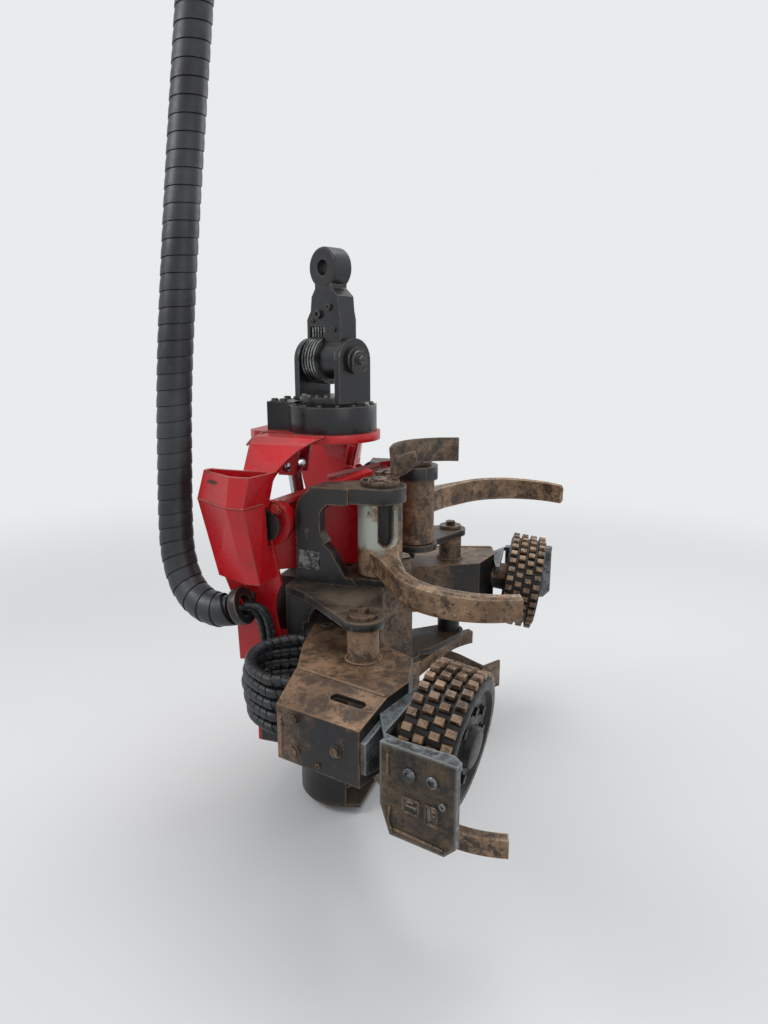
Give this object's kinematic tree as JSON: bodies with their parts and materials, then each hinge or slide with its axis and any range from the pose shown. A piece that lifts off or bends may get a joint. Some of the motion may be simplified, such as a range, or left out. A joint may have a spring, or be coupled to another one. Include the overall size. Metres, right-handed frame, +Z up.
{
  "type": "forestry harvester head with rotator",
  "caption": "Felling and delimbing head: red frame on a hanging rotator, curved knives, two toothed feed rollers on arms, folding chain saw bar.",
  "frame": {"origin": "middle of the swing link's upper bore, on the rotator's axis", "axes": "+Z up along the rotator's axis and the log, +X toward the open side that takes the tree, +Y toward the far side of the picture"},
  "size_m": [1.2211, 1.8984, 2.7218],
  "materials": {
    "red_paint": "worn gloss paint",
    "black_paint": "worn satin paint with grease",
    "bright_steel": "worn bare steel",
    "worn_steel": "rusty worn steel",
    "block_metal": "oily cast block",
    "chrome_rod": "polished chrome",
    "hose_rubber": "matt rubber wrap"
  },
  "bodies": {
    "link": {"link": "black_paint", "brake_discs": "bright_steel"},
    "bracket": {"rotator_bracket": "black_paint", "swing_pin": "bright_steel"},
    "yoke": {"rotator_housing": "black_paint", "tilt_yoke": "red_paint"},
    "head": {"head_frame": "red_paint", "side_plate_near": "red_paint", "side_plate_far": "red_paint", "pivot_pins": "bright_steel", "pivot_guard_near": "red_paint", "pivot_guard_far": "red_paint", "lower_frame": "black_paint", "rear_cover": "red_paint", "log_trough": "worn_steel", "valve_block": "block_metal", "knife_housing_near": "black_paint", "knife_housing_far": "black_paint", "knife_pins": "bright_steel", "fixed_knife": "worn_steel", "arm_bracket_near": "black_paint", "arm_bracket_far": "black_paint", "arm_pins": "bright_steel", "saw_box": "black_paint", "bar_guard": "worn_steel", "saw_motor": "block_metal", "hose_clamp": "black_paint", "hose_bundle": "hose_rubber", "hose_ends": "bright_steel"},
    "tilt_barrel": {"tilt_barrel": "black_paint"},
    "tilt_rod": {"tilt_rod": "chrome_rod"},
    "upper_knife_near": {"upper_knife_near": "worn_steel"},
    "upper_knife_far": {"upper_knife_far": "worn_steel"},
    "feed_arm_near": {"feed_arm_near": "worn_steel", "roller_guard_near": "bright_steel", "arm_hoses_near": "hose_rubber"},
    "feed_arm_far": {"feed_arm_far": "worn_steel", "roller_guard_far": "bright_steel", "arm_hoses_far": "hose_rubber"},
    "roller_near": {"feed_roller_near": "worn_steel"},
    "roller_far": {"feed_roller_far": "worn_steel"},
    "lower_knife_near": {"lower_knife_near": "worn_steel"},
    "lower_knife_far": {"lower_knife_far": "worn_steel"},
    "saw_bar": {"saw_bar": "bright_steel"},
    "measuring_wheel": {"measuring_wheel": "bright_steel"}
  },
  "joints": [
    {"name": "link_swing", "type": "hinge", "parent": "link", "child": "bracket", "pos_m": [0, 0, -0.297], "axis": [0.9063, -0.4226, 0], "range_deg": [-35, 35]},
    {"name": "rotator_turn", "type": "hinge", "parent": "bracket", "child": "yoke", "pos_m": [0, 0, -0.464], "axis": [0, 0, 1], "continuous": true},
    {"name": "head_tilt", "type": "hinge", "parent": "yoke", "child": "head", "pos_m": [-0.08, 0, -0.794], "axis": [0, 1, 0], "range_deg": [0, 90]},
    {"name": "barrel_swing", "type": "hinge", "parent": "head", "child": "tilt_barrel", "pos_m": [-0.08, 0, -1.194], "axis": [0, 1, 0], "range_deg": [-14, 1]},
    {"name": "rod_slide", "type": "slide", "parent": "tilt_barrel", "child": "tilt_rod", "axis": [-0.1401, 0, 0.9901], "range_m": [-0.186, 0.001]},
    {"name": "upper_knife_near_close", "type": "hinge", "parent": "head", "child": "upper_knife_near", "pos_m": [0.24, -0.2, -0.847], "axis": [0, 0, 1], "range_deg": [0, 80]},
    {"name": "upper_knife_far_close", "type": "hinge", "parent": "head", "child": "upper_knife_far", "pos_m": [0.24, 0.2, -0.847], "axis": [0, 0, 1], "range_deg": [-80, 0]},
    {"name": "feed_arm_near_close", "type": "hinge", "parent": "head", "child": "feed_arm_near", "pos_m": [0.3, -0.53, -1.214], "axis": [0, 0, 1], "range_deg": [0, 85]},
    {"name": "feed_arm_far_close", "type": "hinge", "parent": "head", "child": "feed_arm_far", "pos_m": [0.3, 0.53, -1.214], "axis": [0, 0, 1], "range_deg": [-85, 0]},
    {"name": "roller_near_turn", "type": "hinge", "parent": "feed_arm_near", "child": "roller_near", "pos_m": [0.5958, -0.68173, -1.239], "axis": [0.9829, -0.1207, -0.1392], "continuous": true},
    {"name": "roller_far_turn", "type": "hinge", "parent": "feed_arm_far", "child": "roller_far", "pos_m": [0.5958, 0.68173, -1.239], "axis": [0.9829, 0.1207, -0.1392], "continuous": true},
    {"name": "lower_knife_near_close", "type": "hinge", "parent": "head", "child": "lower_knife_near", "pos_m": [0.205, -0.235, -1.564], "axis": [0, 0, 1], "range_deg": [0, 60]},
    {"name": "lower_knife_far_close", "type": "hinge", "parent": "head", "child": "lower_knife_far", "pos_m": [0.205, 0.235, -1.564], "axis": [0, 0, 1], "range_deg": [-60, 0]},
    {"name": "saw_bar_swing", "type": "hinge", "parent": "head", "child": "saw_bar", "pos_m": [0.06, -0.12, -1.822], "axis": [0, 0, 1], "range_deg": [-90, 0]},
    {"name": "measuring_wheel_turn", "type": "hinge", "parent": "head", "child": "measuring_wheel", "pos_m": [0.11, 0, -1.362], "axis": [0, 1, 0], "continuous": true}
  ],
  "couplings": [
    {"joint": "barrel_swing", "follows": "head_tilt", "ratio": -0.15278},
    {"joint": "rod_slide", "follows": "head_tilt", "m_per_rad": -0.1179},
    {"joint": "upper_knife_far_close", "follows": "upper_knife_near_close", "ratio": -1},
    {"joint": "feed_arm_far_close", "follows": "feed_arm_near_close", "ratio": -1},
    {"joint": "lower_knife_far_close", "follows": "lower_knife_near_close", "ratio": -1}
  ]
}
